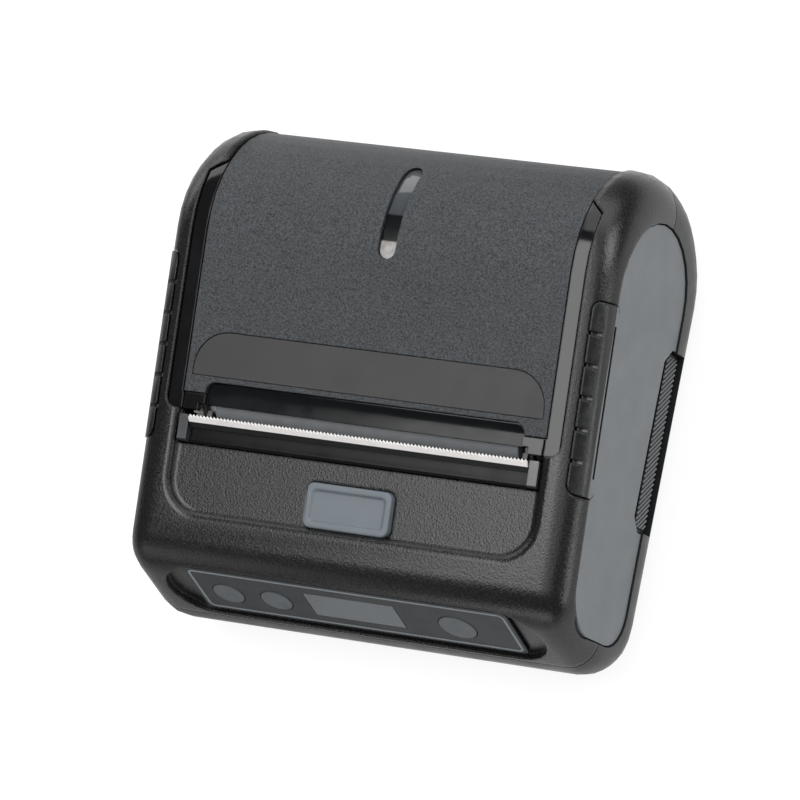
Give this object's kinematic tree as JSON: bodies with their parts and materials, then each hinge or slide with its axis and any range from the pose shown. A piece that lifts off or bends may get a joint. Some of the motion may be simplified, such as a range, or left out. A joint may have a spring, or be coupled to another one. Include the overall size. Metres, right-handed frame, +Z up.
{
  "type": "thermal receipt printer",
  "caption": "Hand-held thermal receipt printer on its back: round case with a hinged lid, tear bar, open button, key panel and rubber grips.",
  "frame": {"origin": "middle of the flat back that the printer lies on, at the bottom centre of its box", "axes": "+Z up out of the back, +Y from the key panel towards the round paper roll end, +X to the right seen from the key panel"},
  "size_m": [0.1106, 0.1102, 0.0498],
  "materials": {
    "grained_black": "grained",
    "cover_black": "coarse grained",
    "gloss_black": "polished",
    "satin_black": "satin",
    "satin_grey": "satin",
    "grip_rubber": "matt",
    "band_grey": "smooth matt",
    "key_grey": "matt",
    "button_grey": "satin",
    "window_grey": "polished",
    "platen_grey": "matt",
    "bright_steel": "bright",
    "sheet_steel": "zinc plated",
    "aluminium": "milled",
    "ceramic_white": "glazed",
    "white_plastic": "moulded",
    "board_green": "lacquered",
    "chip_black": "moulded",
    "brass": "turned"
  },
  "bodies": {
    "case": {"front_case": "grained_black", "rear_case": "satin_black", "side_panel_right": "satin_grey", "side_panel_left": "satin_grey", "front_grip_right": "grip_rubber", "front_grip_left": "grip_rubber", "rear_grip_right": "grip_rubber", "rear_grip_left": "grip_rubber", "front_screw_right": "sheet_steel", "front_screw_left": "sheet_steel", "rear_screw_right": "sheet_steel", "rear_screw_left": "sheet_steel", "hinge_pin": "sheet_steel", "control_overlay": "satin_black", "display_window": "window_grey", "display_module": "chip_black", "key_board": "board_green", "dome_film": "sheet_steel", "key_board_screw_left": "sheet_steel", "key_board_screw_right": "sheet_steel", "button_spring": "sheet_steel", "mechanism_frame": "sheet_steel", "frame_screw_right": "sheet_steel", "frame_screw_left": "sheet_steel", "head_pivot_pin": "sheet_steel", "head_spring_right": "sheet_steel", "head_spring_left": "sheet_steel", "tear_bar_holder": "gloss_black", "tear_bar": "bright_steel", "drive_motor": "sheet_steel", "gear_post": "sheet_steel", "paper_bay": "satin_black", "paper_sensor": "chip_black", "battery_connector": "brass", "main_board": "board_green", "processor_chip": "chip_black", "driver_chip": "chip_black", "usb_socket": "sheet_steel", "charging_socket": "chip_black"},
    "lid": {"lid_cover": "cover_black", "lid_frame": "gloss_black", "name_band": "band_grey", "paper_window": "gloss_black", "platen_bushing_right": "white_plastic", "platen_bushing_left": "white_plastic"},
    "platen": {"platen_roller": "platen_grey", "platen_shaft": "bright_steel", "platen_gear": "white_plastic"},
    "idler": {"idler_gear": "white_plastic"},
    "rotor": {"motor_shaft": "sheet_steel", "motor_pinion": "brass"},
    "open_key": {"open_button": "button_grey"},
    "latch": {"latch_lever": "sheet_steel"},
    "feed": {"feed_key": "key_grey"},
    "settings": {"settings_key": "key_grey"},
    "power": {"power_key": "key_grey"},
    "print_head": {"head_heat_sink": "aluminium", "head_ceramic": "ceramic_white"},
    "battery": {"battery_pack": "satin_black"}
  },
  "joints": [
    {"name": "lid_hinge", "type": "hinge", "parent": "case", "child": "lid", "pos_m": [0, 0.05106, 0.021], "axis": [-1, 0, 0], "range_deg": [0, 100]},
    {"name": "platen_spin", "type": "hinge", "parent": "lid", "child": "platen", "pos_m": [0, -0.00954, 0.03741], "axis": [1, 0, 0], "continuous": true},
    {"name": "idler_spin", "type": "hinge", "parent": "case", "child": "idler", "pos_m": [0, -0.00867, 0.02745], "axis": [1, 0, 0], "continuous": true},
    {"name": "motor_spin", "type": "hinge", "parent": "case", "child": "rotor", "pos_m": [0, -0.00051, 0.02364], "axis": [1, 0, 0], "continuous": true},
    {"name": "button_press", "type": "slide", "parent": "case", "child": "open_key", "axis": [0, 0.1167, -0.9932], "range_m": [0, 0.002], "stiffness_N_per_m": 1500, "springref_m": -0.001},
    {"name": "latch_turn", "type": "hinge", "parent": "case", "child": "latch", "pos_m": [0, -0.01394, 0.02661], "axis": [1, 0, 0], "range_deg": [0, 7.74], "deforming": ["button_spring"]},
    {"name": "feed_press", "type": "slide", "parent": "case", "child": "feed", "axis": [0, 0.9385, -0.3453], "range_m": [0, 0.0005], "stiffness_N_per_m": 2000, "springref_m": -0.0005},
    {"name": "settings_press", "type": "slide", "parent": "case", "child": "settings", "axis": [0, 0.9385, -0.3453], "range_m": [0, 0.0005], "stiffness_N_per_m": 2000, "springref_m": -0.0005},
    {"name": "power_press", "type": "slide", "parent": "case", "child": "power", "axis": [0, 0.9385, -0.3453], "range_m": [0, 0.0005], "stiffness_N_per_m": 2000, "springref_m": -0.0005},
    {"name": "head_pivot", "type": "hinge", "parent": "case", "child": "print_head", "pos_m": [0, -0.01799, 0.02501], "axis": [1, 0, 0], "range_deg": [0, 1.5], "stiffness_Nm_per_rad": 3, "springref_deg": -5.73},
    {"name": "battery_slide", "type": "slide", "parent": "case", "child": "battery", "axis": [0, 0, -1], "range_m": [0, 0.03]}
  ],
  "couplings": [
    {"joint": "idler_spin", "follows": "platen_spin", "ratio": -0.66667},
    {"joint": "motor_spin", "follows": "platen_spin", "ratio": 1.3333},
    {"joint": "latch_turn", "follows": "button_press", "rad_per_m": 67.5}
  ]
}
